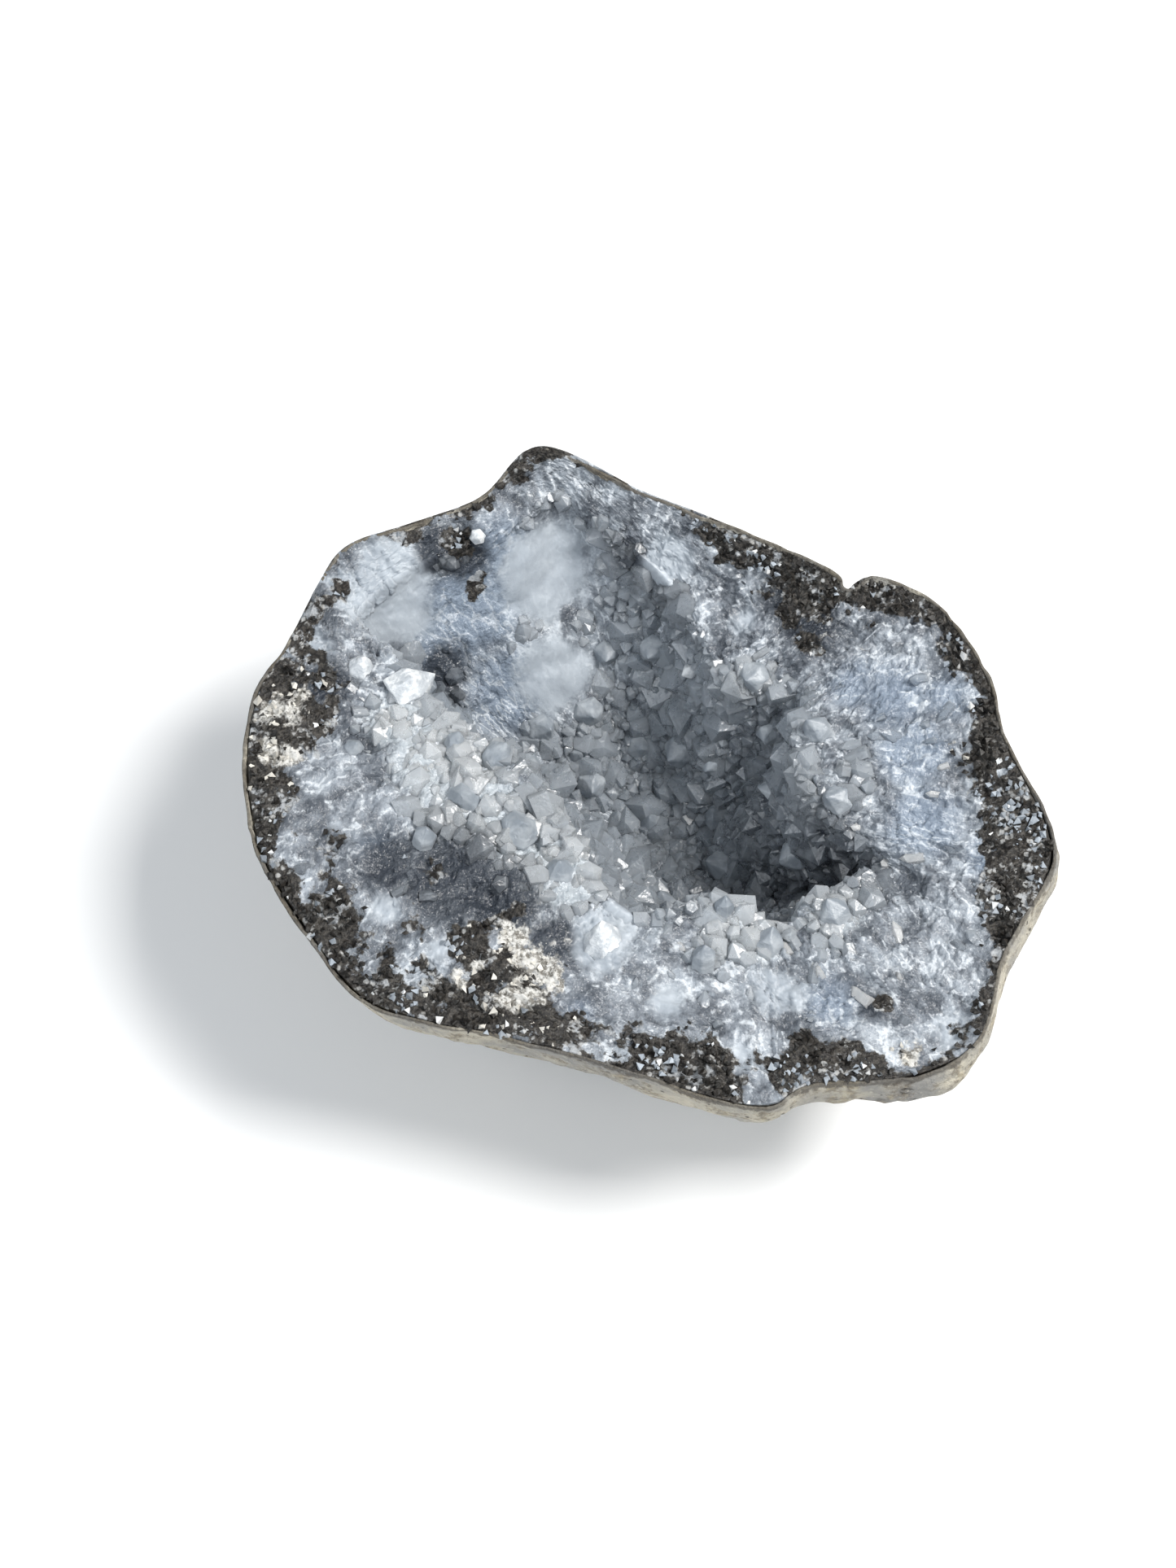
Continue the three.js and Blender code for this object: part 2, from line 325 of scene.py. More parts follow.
class Finish:
    """A material being made: one Principled shader, and a method that adds any other node."""

    def __init__(self, name, constants):
        self.material = bpy.data.materials.new(name)
        self.material.use_nodes = True
        self.tree = self.material.node_tree
        self.shader = self.tree.nodes["Principled BSDF"]
        for socket, value in constants.items():
            self.shader.inputs[socket].default_value = value

    def join(self, value, socket):
        if isinstance(value, Value):
            self.tree.links.new(value.socket, socket)
        else:
            socket.default_value = value

    def node(self, kind, settings=None, inputs=None, output=0):
        node = self.tree.nodes.new("ShaderNode" + kind)
        for setting, value in (settings or {}).items():
            setattr(node, setting, value)
        for socket, value in (inputs or {}).items():
            self.join(value, node.inputs[socket])
        return Value(self, node.outputs[output])

    def field(self, name):
        return self.node("Attribute", {"attribute_name": name}, output=2)

    def colour(self, name):
        return self.node("Attribute", {"attribute_name": name})

    def millimetres(self):
        """The point on the object, in millimetres."""
        return self.node("VectorMath", {"operation": "SCALE"},
                         {0: self.node("TexCoord", output=3), "Scale": 1000.0})

    def noise(self, at, size, detail=3.0, roughness=0.55):
        return self.node("TexNoise", {}, {"Vector": at, "Scale": 1 / size, "Detail": detail,
                                          "Roughness": roughness})

    def step(self, value, low, high):
        """0 below low, 1 above high, and an S curve between."""
        return self.node("MapRange", {"interpolation_type": "SMOOTHSTEP"}, {0: value, 1: low, 2: high})

    def mix(self, share, under, over):
        return self.node("Mix", {"data_type": "RGBA"}, {0: share, 6: under, 7: over}, output=2)

    def flakes(self, at, size, strength):
        """The surface's normal, tilted a different way in each small cell, as on finely broken crystal."""
        cell = self.node("TexVoronoi", {}, {"Vector": at, "Scale": 1 / size}, output=1)
        tilt = self.node("VectorMath", {"operation": "SUBTRACT"}, {0: cell, 1: (0.5, 0.5, 0.5)})
        tilt = self.node("VectorMath", {"operation": "SCALE"}, {0: tilt, "Scale": strength})
        normal = self.node("NewGeometry", output=1)
        tilted = self.node("VectorMath", {"operation": "ADD"}, {0: normal, 1: tilt})
        return self.node("VectorMath", {"operation": "NORMALIZE"}, {0: tilted})

    def bump(self, height, depth, normal=None):
        inputs = {"Height": height, "Distance": depth, "Strength": 1.0}
        if normal:
            inputs["Normal"] = normal
        return self.node("Bump", {}, inputs)

    def feed(self, **sockets):
        """Links what changes over the surface: base_color goes to the shader's Base Color, and so on."""
        for name, value in sockets.items():
            self.join(value, self.shader.inputs[name.replace("_", " ").title()])
        return self.material


# The rind
# The nodule's own outer skin: a thin crust of cream and grey chalcedony, lumpy, pitted and stained, with
# dark specks. It is drawn as a bowl about a millimetre thick, whose edge shows as a pale line round the
# broken face.

RIND_COLUMNS = 560
RIND_ROWS, RIND_BACK_ROWS = 120, 14
CRUST = 1.1
KNOB_SIZE, LUMP_SIZE, PIMPLE_SIZE = 7.5, 3.2, 1.1
PIT_SIZE, PITTED_AREA = 3.4, 9
RIND_SPECK_SIZE = 1.1
RIND_CREAM = (0.46, 0.425, 0.345, 1)
RIND_GREY = (0.25, 0.245, 0.23, 1)
RIND_BROWN = (0.12, 0.10, 0.075, 1)
RIND_OCHRE = (0.44, 0.38, 0.25, 1)
RIND_PALE = (0.60, 0.565, 0.475, 1)
RIND_SPECK = (0.02, 0.018, 0.015, 1)
RIND_EDGE = (0.055, 0.048, 0.04, 1)

rind = Finish("rind_crust", {"Specular IOR Level": 0.35})
here = rind.millimetres()
broad = rind.noise(here, 14.0, 4.0, 0.6)
middling = rind.noise(here, 3.2, 5.0, 0.62)
fine = rind.noise(here, 0.7, 3.0, 0.6)
tone = rind.mix(rind.step(broad + 0.35 * middling, 0.55, 0.78), RIND_GREY, RIND_CREAM)
tone = rind.mix(rind.step(middling + 0.45 * fine, 0.7, 0.86) * 0.75, tone, RIND_BROWN)
tone = rind.mix(rind.step(middling - 0.3 * fine, 0.4, 0.5) * 0.4, tone, RIND_OCHRE)
tone = rind.mix(rind.step(fine, 0.6, 0.72) * 0.55, tone, RIND_PALE)
speck = rind.node("TexVoronoi", {}, {"Vector": here, "Scale": 1 / RIND_SPECK_SIZE})
crowded = rind.step(rind.noise(here, 2.2, 3.0), 0.46, 0.58)
tone = rind.mix((1 - rind.step(speck + 0.9 * fine, 0.55, 0.72)) * crowded * 0.8, tone, RIND_SPECK)
tone = rind.mix(rind.field("pit") * 0.65, tone, RIND_BROWN)
stained = rind.step(rind.field("edge") + middling + 0.5 * fine, 1.45, 1.7)
tone = rind.mix(stained * 0.75, tone, RIND_EDGE)
rind_finish = rind.feed(base_color=tone, roughness=0.85 - 0.25 * middling,
                        normal=rind.bump(fine + 1.5 * middling, 0.0005))

levels = np.concatenate([np.linspace(0, 1, RIND_ROWS), np.linspace(1, 0, RIND_BACK_ROWS)])
turn, level = grid(levels, RIND_COLUMNS)
points, outward = skin_frame(rind_at, turn, level)
knobs = chips(points, KNOB_SIZE, 11)[1]
pits = np.clip(1.5 - 4.5 * chips(points, PIT_SIZE, 23)[1], 0, 1) * (cloud(points, PITTED_AREA, 5) > 0.45)
sink = 1.5 * knobs ** 2 + 0.9 * cloud(points, LUMP_SIZE, 31) + 0.5 * cloud(points, PIMPLE_SIZE, 37)
sink += 0.8 * pits
held = np.clip(level / 0.12, 0, 1) * np.clip((1 - level) / 0.1, 0.45, 1)
backing = np.arange(len(level)) >= RIND_ROWS * RIND_COLUMNS
thickness = CRUST * (0.3 + 0.7 * np.clip((1 - level) / 0.3, 0, 1))
points = points - outward * np.where(backing, thickness + sink * held * 0.5, sink * held * 0.6)[:, None]
points[:, 2] = np.maximum(points[:, 2], np.where(backing, CRUST, 0) * (1 - level))
crust = np.concatenate([points, [BASE_MIDDLE, BASE_MIDDLE + [0, 0, CRUST]]])
near_rim = np.clip((level - 0.9) / 0.09, 0, 1)
piece = build("rind", settle(crust), wrap(len(levels), RIND_COLUMNS, True), rind_finish, smooth=True,
              pit=np.append(pits * ~backing, [0, 0]), edge=np.append(near_rim, [0, 0]))
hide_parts(STONE)


# The broken face
# The wide break between rim and lip: coarse grey-blue quartz that runs in towards the hollow, a
# brown-black band under the rind speckled with white, and patches of cream, milky, blue, smoky and glassy
# stone. It is one closed ring, whose hidden back follows its front.

FACE_COLUMNS = 760
FACE_ROWS, FACE_BACK_ROWS = 116, 8
FACE_DEPTH = 1.7
RIM_INSET = 0.035
EDGE_WIDTH = 3
BAND_FADE = 8
LARGE_CHIP, RIB, SMALL_CHIP, GRIT, FACE_SWELL = 3.4, 1.9, 1.25, 0.7, 6.5
NET_SIZE, FACE_SPECK_SIZE = 1.4, 0.9
QUARTZ_DEEP = (0.085, 0.096, 0.113, 1)
QUARTZ_GREY = (0.33, 0.362, 0.40, 1)
CHALCEDONY_BLUE = (0.21, 0.26, 0.33, 1)
QUARTZ_GLASSY = (0.47, 0.51, 0.54, 1)
FROST = (0.64, 0.675, 0.71, 1)
MILK_DEEP = (0.27, 0.305, 0.35, 1)
MILK_PALE = (0.47, 0.51, 0.545, 1)
SMOKE_AND_SHADE = (0.03, 0.036, 0.047, 1)
MATRIX_BLACK = (0.008, 0.0065, 0.0055, 1)
MATRIX_BROWN = (0.05, 0.044, 0.037, 1)
GRAIN_GREY = (0.42, 0.42, 0.41, 1)
CLOT_GREY = (0.36, 0.375, 0.39, 1)
CREAM_DIRTY = (0.17, 0.16, 0.14, 1)
CREAM_CLEAN = (0.60, 0.59, 0.56, 1)

# Width of the dark band at each corner of the edge.
DARK_BAND = np.array([1, 1.5, 3, 7, 8, 8, 6, 4, 5, 7.5, 6, 5, 2, 5,
                      7, 7.5, 8, 9, 9, 6, 5, 9, 8, 3, 2, 1.5, 1, 1])

# Patches of each stuff: corner of the edge (2.5 is halfway from the third to the fourth), level, radius
# and strength. The smoky patches on the face are smoky quartz, but those inside the hollow at corners 5 to
# 13
# and at corner 20 are painted shade: they darken the recess and cave under the right lobe, the low floor
# and the wall behind the near lip. The dark patch at corner 10.5, level 0.35, is painted shade in the cave.
PATCHES = {
    "dark": [(18.75, -0.5, 3.5, 0.9), (18.25, -0.65, 3, 0.9), (18.25, -0.85, 3.5, 0.9),
             (17.5, -0.4, 2.5, 0.7), (19.75, -0.75, 2.5, 0.8), (20, -0.85, 2.5, 0.8),
             (22.25, -0.6, 3, 0.9), (21.5, -0.65, 3, 0.9), (22.75, -0.7, 2, 0.6), (3.5, -0.65, 3.5, 0.9),
             (2.75, -0.6, 2.5, 0.8), (4.25, -0.75, 3.5, 0.9), (4.5, -0.5, 3, 0.7), (5.5, -0.75, 4, 0.7),
             (6, -0.75, 3, 0.6), (13, -0.6, 1.5, 0.9), (13.5, -0.8, 3, 0.9), (14, -0.7, 2.5, 0.8),
             (15, -0.9, 3, 0.9), (26.5, -0.05, 2.5, 1), (26.5, 0.25, 1.8, 0.8), (24.75, 0.45, 2, 0.7),
             (10.5, 0.35, 3, 0.8), (17.5, -0.6, 4, 1), (17, -0.6, 3.5, 0.9), (16.5, -0.65, 4, 0.9),
             (17.75, -0.75, 3, 0.9), (16, -0.8, 3, 0.8)],
    "smoky_and_shade": [(18.5, -0.45, 6, 1.1), (17.75, -0.35, 5, 1), (19.25, -0.6, 5, 0.8), (16.75, -0.35, 3, 0.9),
              (10.5, 0.35, 8, 1), (9.5, 0.2, 5, 0.9), (11, 0.6, 8, 0.85), (8, 0.5, 8, 0.7),
              (5, 0.4, 6, 0.55), (13, 0.7, 8, 0.6), (4, -0.65, 5, 0.8), (3, -0.6, 4, 0.7),
              (26.5, 0.1, 3.5, 1), (26.25, -0.05, 3, 1.2), (25, 0.4, 3.5, 0.9), (1, 0.1, 3, 0.8),
              (2, 0.2, 3, 0.6), (22.25, -0.6, 4, 0.8), (13, -0.6, 2.5, 0.7), (20, 0.3, 7, 0.4)],
    "cream": [(17, -0.45, 4, 0.95), (16.5, -0.55, 4, 0.9), (16.5, -0.7, 4, 0.9), (17.25, -0.7, 3, 0.8),
              (21.75, -0.8, 4.5, 1), (21, -0.85, 3.5, 0.9), (13, -0.85, 2.5, 0.9), (8, -0.75, 1.5, 0.9)],
    "milky": [(16.25, -0.25, 4, 1), (16.25, -0.1, 3, 1), (14.25, -0.4, 4, 0.8), (15.5, -0.55, 3, 0.7),
              (15, -0.75, 2, 0.6), (12.25, -0.85, 3, 0.7), (14, -0.75, 1.5, 0.6), (18.75, -0.7, 2.5, 0.7),
              (17.75, -0.65, 2.5, 0.7), (20, -0.7, 3, 0.4), (10.5, -0.3, 3, 0.5), (1.75, -0.2, 3.5, 1),
              (3, -0.3, 3, 0.6), (25.25, 0, 6, 1), (25, 0.2, 6, 0.9), (24.5, -0.2, 5, 0.8),
              (23, -0.75, 3.5, 0.7), (27.5, 0.3, 7, 1), (27, 0.5, 6, 0.9), (22.5, 0, 3, 0.6)],
    "blue": [(26.25, 0.3, 6, 1), (25.5, 0.35, 5, 0.9), (26, 0.5, 6, 0.8), (27, 0.15, 5, 0.7),
             (9.75, -0.7, 3, 0.7), (13.5, -0.5, 4, 0.6), (7.25, -0.75, 4, 0.6), (7, -0.5, 5, 0.7),
             (8, -0.55, 5, 0.7), (9, -0.45, 5, 0.7), (6.5, -0.3, 4, 0.6), (19.5, -0.6, 3, 0.5),
             (16, -0.7, 2.5, 0.5)],
    "glass": [(20.5, -0.2, 6, 1), (19.5, -0.25, 6, 1), (18.5, -0.15, 5, 1), (17.5, -0.1, 5, 1),
              (21.5, -0.25, 4, 0.9), (14.5, -0.1, 4, 0.8), (15, -0.15, 4, 0.7), (12.75, -0.1, 4, 0.7),
              (8.5, -0.1, 5, 0.35), (4.25, -0.1, 3, 0.6)],
}


def zones(turn, level, points):
    """How much of each stuff there is at points of the inside, from 0 to 1: for each patch a bell curve
    of the distance from its middle, and for the dark band a slope that falls across its edge."""
    fields = {}
    for stuff, patches in PATCHES.items():
        spots = np.array(patches)
        middles = inside_at(spots[:, 0] / STATIONS, spots[:, 1])
        apart = np.linalg.norm(points[:, None] - middles, axis=2) / spots[:, 2]
        fields[stuff] = (spots[:, 3] * np.exp(-apart ** 2)).max(axis=1)
    rim, lip = (spline(EDGE[:, side], turn * STATIONS, closed=True) for side in (0, 1))
    from_rim = (1 + level) * np.linalg.norm(lip - rim, axis=1)
    width = spline(DARK_BAND[:, None], turn * STATIONS, closed=True)[:, 0]
    band = np.clip(0.45 + (width - from_rim) / BAND_FADE, 0, 1) * (level < 0)
    dark = np.maximum(fields["dark"], band)
    ragged = 0.9 * cloud(points, 5.5, 71) + 0.7 * cloud(points, 2.3, 83) + 0.5 * cloud(points, 1.1, 89)
    fields["dark"] = np.clip(dark + (ragged - 1.05) * np.clip(4 * dark, 0, 1), 0, 1)
    fields["edge"] = np.clip(1 - from_rim / EDGE_WIDTH, 0, 1)
    return fields


ROUND = 28


def flow_at(turn, level, points):
    """A place in which distance towards the hollow counts for a fifth, so that patterns run inwards."""
    angle = turn * 2 * math.pi
    rim = spline(EDGE[:, 0], turn * STATIONS, closed=True)
    inward = np.linalg.norm(points - rim, axis=1)
    return np.stack([ROUND * np.cos(angle), ROUND * np.sin(angle), 0.2 * inward], axis=1)


stone = Finish("broken_quartz", {"IOR": 1.54, "Specular IOR Level": 0.4, "Subsurface Weight": 0.3,
                                 "Subsurface Scale": 0.0015, "Subsurface Radius": (1, 1, 1)})
here = stone.millimetres()
flow = stone.node("VectorMath", {"operation": "MULTIPLY"}, {0: stone.colour("flow"), 1: (1.0, 1.0, 2.0)})
coarse = stone.noise(here, 5.0, 4.0)
streak = stone.noise(flow, 1.6, 5.0, 0.65)
grain = stone.noise(here, 1.1, 4.0, 0.62)
fine = stone.noise(here, 0.35, 2.0)
blue, milky = stone.field("blue"), stone.field("milky")

# Clear grey quartz, cloudier in places, with frosted streaks and a broken net of bright crystal edges.
tone = stone.mix(stone.step(0.4 * streak + 0.45 * coarse + 0.15 * grain, 0.4, 0.6),
                 QUARTZ_DEEP, QUARTZ_GREY)
tone = stone.mix(stone.step(blue + 0.5 * coarse, 0.4, 0.9) * 0.75, tone, CHALCEDONY_BLUE)
tone = stone.mix(stone.step(stone.field("glass") + 0.6 * grain, 0.55, 0.95) * 0.75, tone, QUARTZ_GLASSY)
wander = stone.node("VectorMath", {"operation": "ADD"}, {0: flow, 1: stone.noise(here, 1.5, 2.0) * 1.2})
net = stone.node("TexVoronoi", {"feature": "DISTANCE_TO_EDGE"}, {"Vector": wander, "Scale": 1 / NET_SIZE})
frost = (1 - stone.step(net, 0.02, 0.11)) * stone.step(grain + 0.9 * coarse, 0.88, 1.08)
tone = stone.mix(frost * (0.75 - 0.35 * blue), tone, FROST)
milky_share = stone.step(milky + 0.6 * coarse + 0.3 * grain, 0.75, 1.1)
milk = stone.mix(coarse, MILK_DEEP, MILK_PALE)
tone = stone.mix(milky_share * 0.85, tone, milk)
blotch = stone.noise(here, 3.0, 4.0, 0.6)
cream_share = stone.step(stone.field("cream") + 2.5 * blotch, 1.88, 2.12)
# Smoky quartz on the face. Inside the hollow the same dark colour is painted shade over the recess, the
# cave, the low floor and the wall behind the near lip.
smoke_and_shade_share = stone.step(stone.field("smoky_and_shade") + 0.5 * streak, 0.45, 0.95)
tone = stone.mix(smoke_and_shade_share * 0.92, tone, SMOKE_AND_SHADE)

# Where it is dark: brown-black matrix, with pale grains and grey clots; in the cave of the hollow the
# same dark is painted shade. Where it is cream: chalcedony with dirt.
dark_share = stone.step(stone.field("dark") + 0.8 * grain, 0.94, 1.06)
soot_and_shade = stone.mix(stone.step(fine + 0.6 * grain, 0.7, 1.0), MATRIX_BLACK, MATRIX_BROWN)
speck = stone.node("TexVoronoi", {}, {"Vector": here, "Scale": 1 / FACE_SPECK_SIZE})
speck = (1 - stone.step(speck + 0.5 * fine, 0.5, 0.68)) * stone.step(blotch, 0.46, 0.56)
clot = stone.step(blotch + 0.35 * grain, 0.74, 0.84)
soot_and_shade = stone.mix(speck * 0.8, soot_and_shade, GRAIN_GREY)
soot_and_shade = stone.mix(clot * 0.9, soot_and_shade, CLOT_GREY)
tone = stone.mix(dark_share, tone, soot_and_shade)
cream_tone = stone.mix(stone.step(grain + 0.5 * fine, 0.62, 0.84), CREAM_DIRTY, CREAM_CLEAN)
tone = stone.mix(cream_share, tone, cream_tone)
crisp = 1 - 0.85 * milky_share
relief = stone.bump((fine + 0.8 * grain) * crisp, 0.0002, stone.flakes(here, 0.55, 0.5 * crisp))
stone_finish = stone.feed(base_color=tone, roughness=0.22 + 0.35 * dark_share + 0.25 * milky_share,
                          normal=relief)

levels = np.concatenate([np.linspace(RIM_INSET - 1, 0.1, FACE_ROWS),
                         np.linspace(0.06, 0.03 - 1, FACE_BACK_ROWS)])
turn, level = grid(levels, FACE_COLUMNS)
points, outward = skin_frame(inside_at, turn, level)
fields = zones(turn, level, points)
backing = np.arange(len(level)) >= FACE_ROWS * FACE_COLUMNS
large, _ = chips(points, LARGE_CHIP, 41)
ribs, _ = chips(flow_at(turn, level, points) * [1, 1, 2], RIB, 47)
small, _ = chips(points, SMALL_CHIP, 53)
gritty, _ = chips(points, GRIT, 59)
swell = cloud(points, FACE_SWELL, 61) - 0.5
rise = 1.5 * swell + 0.5 * large + 0.5 * ribs + 0.35 * small + (0.18 + 0.2 * fields["dark"]) * gritty
rise *= np.clip((1 + level) / 0.12, 0.1, 1)
behind = FACE_DEPTH * (0.15 + 0.85 * (1 - fields["edge"]) ** 2)
points = points + outward * np.where(backing, -behind, rise)[:, None]
flow = flow_at(turn, level, points)
piece = build("broken_face", settle(points), wrap(len(levels), FACE_COLUMNS, False), stone_finish, True,
              flow=flow, **{stuff: fields[stuff] for stuff in PATCHES})
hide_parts(STONE)


# The lining of the hollow
# Chalcedony that lines the hollow under the crystals: milky and smoothly knobbed in the high corner on
# the left, blue below it, and darkened in the recess on the right by painted shade. It is a closed bowl as
# thick as the face's ring.

LINING_COLUMNS = 620
LINING_ROWS, LINING_BACK_ROWS = 110, 7
MILKY_KNOB, LINING_CHIP, LINING_GRIT = 5.2, 2.2, 1.0

levels = np.concatenate([np.linspace(0.985, -0.02, LINING_ROWS), np.linspace(0.02, 0.97, LINING_BACK_ROWS)])
turn, level = grid(levels, LINING_COLUMNS)
points, outward = skin_frame(inside_at, turn, level)
fields = zones(turn, level, points)
backing = np.arange(len(level)) >= LINING_ROWS * LINING_COLUMNS
_, knob = chips(points, MILKY_KNOB, 67)
angular, _ = chips(points, LINING_CHIP, 73)
fine_angular, _ = chips(points, LINING_GRIT, 79)
soft = np.clip(fields["milky"] * 1.6, 0, 1)
rise = soft * (0.7 - 0.8 * knob ** 2 + 0.12 * fine_angular)
rise += (1 - soft) * (0.6 * angular + 0.3 * fine_angular)
rise *= np.clip((1 - level) / 0.1, 0, 1)
points = points + outward * np.where(backing, -FACE_DEPTH, rise)[:, None]
flow = flow_at(turn, level, points)
points = np.concatenate([points, [HOLLOW_MIDDLE, HOLLOW_MIDDLE - [0, 0, FACE_DEPTH]]])
piece = build("hollow_lining", settle(points), wrap(len(levels), LINING_COLUMNS, True), stone_finish, True,
              flow=np.concatenate([flow, [[0, 0, 5], [0, 0, 5]]]),
              **{stuff: np.append(fields[stuff], [0, 0]) for stuff in PATCHES})
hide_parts(STONE)


# The crystal lining
# Quartz crystals that grew packed together all over the hollow, six-sided and pointed, each one rooted in
# the chalcedony and leaning its own way: large ones, ones half their size, and fine ones in the gaps.

TINT_CLEAR = np.array([0.37, 0.41, 0.455])
TINT_MILKY = np.array([0.68, 0.71, 0.74])
TINT_BLUE = np.array([0.29, 0.355, 0.44])
TINT_DARK = np.array([0.05, 0.055, 0.065])
TINT_SMOKY_AND_SHADE = np.array([0.045, 0.053, 0.068])
TINT_GLASS = np.array([0.80, 0.83, 0.85])
TINT_WHITE = np.array([0.82, 0.83, 0.83])
TINT_CREAM = np.array([0.50, 0.48, 0.435])
TINT_SOOT = np.array([0.012, 0.0105, 0.009])
DRUSE_CLOUD = (0.50, 0.54, 0.58, 1)
DRUSE_ROOT = (0.15, 0.165, 0.185, 1)
SHOULDER_DROP, SNAPPED_DROP = 0.42, 0.35
GROWS_UP = [0, 0, 0.3]

druse = Finish("druse_quartz", {"IOR": 1.54, "Transmission Weight": 0.45, "Subsurface Weight": 0.5,
                                "Subsurface Scale": 0.002, "Subsurface Radius": (1, 1, 1)})
here = druse.millimetres()
cloudy = druse.noise(here, 1.8, 4.0, 0.6)
body = druse.mix(druse.step(cloudy, 0.42, 0.7) * 0.4, druse.colour("tint"), DRUSE_CLOUD)
body = druse.mix(druse.field("root") * 0.12, body, DRUSE_ROOT)
druse_finish = druse.feed(base_color=body, roughness=0.16 + 0.25 * cloudy,
                          normal=druse.bump(druse.noise(here, 0.6, 2.0), 0.0001))

SIX = np.arange(6)
SIX_SIDED = np.concatenate([
    np.stack([SIX, (SIX + 1) % 6, 6 + (SIX + 1) % 6], axis=1),
    np.stack([SIX, 6 + (SIX + 1) % 6, 6 + SIX], axis=1),
    np.stack([6 + SIX, 6 + (SIX + 1) % 6, np.full(6, 12)], axis=1),
    np.stack([np.zeros(4, int), SIX[2:], SIX[1:5]], axis=1),
])
CORNERS = 13


def six_sided(draw, count, point):
    """Corners of crystals one wide and one long: a ring at the root, a ring at the shoulder whose corners
    stand at their own heights, so that the faces of the point are uneven, and a tip off the middle."""
    angle = SIX * math.pi / 3
    ring = np.stack([np.cos(angle), np.sin(angle)], axis=1) * draw.uniform(0.8, 1.15, (count, 6, 1))
    shoulder = 1 - point * draw.uniform(0.55, 1.35, (count, 6, 1))
    tip = np.concatenate([draw.uniform(-0.3, 0.3, (count, 1, 2)), np.ones((count, 1, 1))], axis=2)
    return np.concatenate([np.concatenate([ring, np.zeros((count, 6, 1))], axis=2),
                           np.concatenate([ring, shoulder], axis=2), tip], axis=1)


def axes_for(axis, roll):
    """Three unit directions for each crystal: two across it, turned by roll, and its own."""
    helper = np.where(np.abs(axis[:, 2:]) < 0.8, [[0.0, 0.0, 1.0]], [[1.0, 0.0, 0.0]])
    across = np.cross(helper, axis)
    across /= np.linalg.norm(across, axis=1, keepdims=True)
    beside = np.cross(axis, across)
    cos, sin = np.cos(roll)[:, None], np.sin(roll)[:, None]
    return np.stack([across * cos + beside * sin, beside * cos - across * sin, axis], axis=1)


def spread(draw, spacing, low, high, tries=60000):
    """Places on the inside, about a spacing apart: many at random, of which the first in each cell of
    that size is kept. Returns turn and level."""
    turn, level = draw.random(tries), draw.uniform(low, high, tries)
    cell = np.floor(inside_at(turn, level) / spacing).astype(int)
    _, kept = np.unique(cell, axis=0, return_index=True)
    return turn[kept], level[kept]


def unit(vectors):
    """Each vector over its own length."""
    return vectors / np.linalg.norm(vectors, axis=1, keepdims=True)


def stand(shapes, faces, feet, frames, widths, lengths, sunk):
    """Places every shape: its corners are scaled by its width and length, turned into its own directions,
    and moved to its foot, sunk by a share of its length. Returns points, triangles, and each point's
    height share."""
    local = shapes * np.stack([widths, widths, lengths], axis=1)[:, None]
    local[:, :, 2] -= (sunk * lengths)[:, None]
    points = feet[:, None] + np.einsum("nki,nij->nkj", local, frames)
    corners = shapes.shape[1]
    triangles = faces[None] + (np.arange(len(shapes)) * corners)[:, None, None]
    return points.reshape(-1, 3), triangles.reshape(-1, 3), shapes[:, :, 2].ravel()


def tint_of(draw, fields):
    """A colour for each crystal: clear grey-blue, moved towards glassy, blue, milky, smoky and dark by
    its fields, and made lighter or darker at random. In the recess and cave of the hollow and behind the
    near lip, the smoky and dark pulls are painted shade."""
    count = len(fields["dark"])
    tint = np.repeat(TINT_CLEAR[None], count, axis=0)
    pulls = (("glass", TINT_GLASS, 1.1), ("blue", TINT_BLUE, 0.9), ("milky", TINT_MILKY, 1.2),
             ("smoky_and_shade", TINT_SMOKY_AND_SHADE, 1), ("dark", TINT_DARK, 1))
    for stuff, colour, pull in pulls:
        share = np.clip(fields[stuff] * pull, 0, 1)[:, None]
        tint = tint + (colour - tint) * share
    return np.clip(tint * draw.uniform(0.92, 1.08, (count, 1)), 0, 0.95)


def grow(name, spacing, low, high, seed, slim, lean, sunk, chance):
    """One layer of crystals. Width follows the spacing, and length the width. Chance gives, from the
    fields, how likely each place is to keep its crystal."""
    draw = np.random.default_rng(seed)
    turn, level = spread(draw, spacing, low, high)
    feet, outward = skin_frame(inside_at, turn, level)
    fields = zones(turn, level, feet)
    kept = (draw.random(len(turn)) < chance(fields)) & (fields["edge"] == 0)
    feet, outward = feet[kept], outward[kept]
    fields = {stuff: field[kept] for stuff, field in fields.items()}
    count = len(feet)
    axis = unit(outward + lean * draw.normal(size=(count, 3)) + GROWS_UP)
    widths = spacing * draw.uniform(0.4, 0.66, count)
    lengths = widths * slim * draw.uniform(0.8, 1.3, count)
    points, triangles, heights = stand(six_sided(draw, count, SHOULDER_DROP), SIX_SIDED, feet,
                                       axes_for(axis, draw.uniform(0, 2 * math.pi, count)), widths, lengths,
                                       draw.uniform(sunk - 0.1, sunk + 0.1, count))
    # Crystals in the hollow's recess and cave and behind the near lip are darkened by painted shade.
    tint = np.repeat(tint_of(draw, fields), CORNERS, axis=0)
    piece = build(name, settle(points), triangles, druse_finish, tint=tint, root=1 - heights)
    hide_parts(STONE)


def bare(fields):
    """Few crystals where the wall is smooth milky or blue chalcedony."""
    return 1.05 - 2.2 * np.maximum(fields["milky"], fields["blue"])


def on_lip(fields):
    """Many crystals where the lip is glassy, and none in the dark patches beside it."""
    return 1.5 * fields["glass"] - fields["milky"] - 1.6 * fields["dark"]


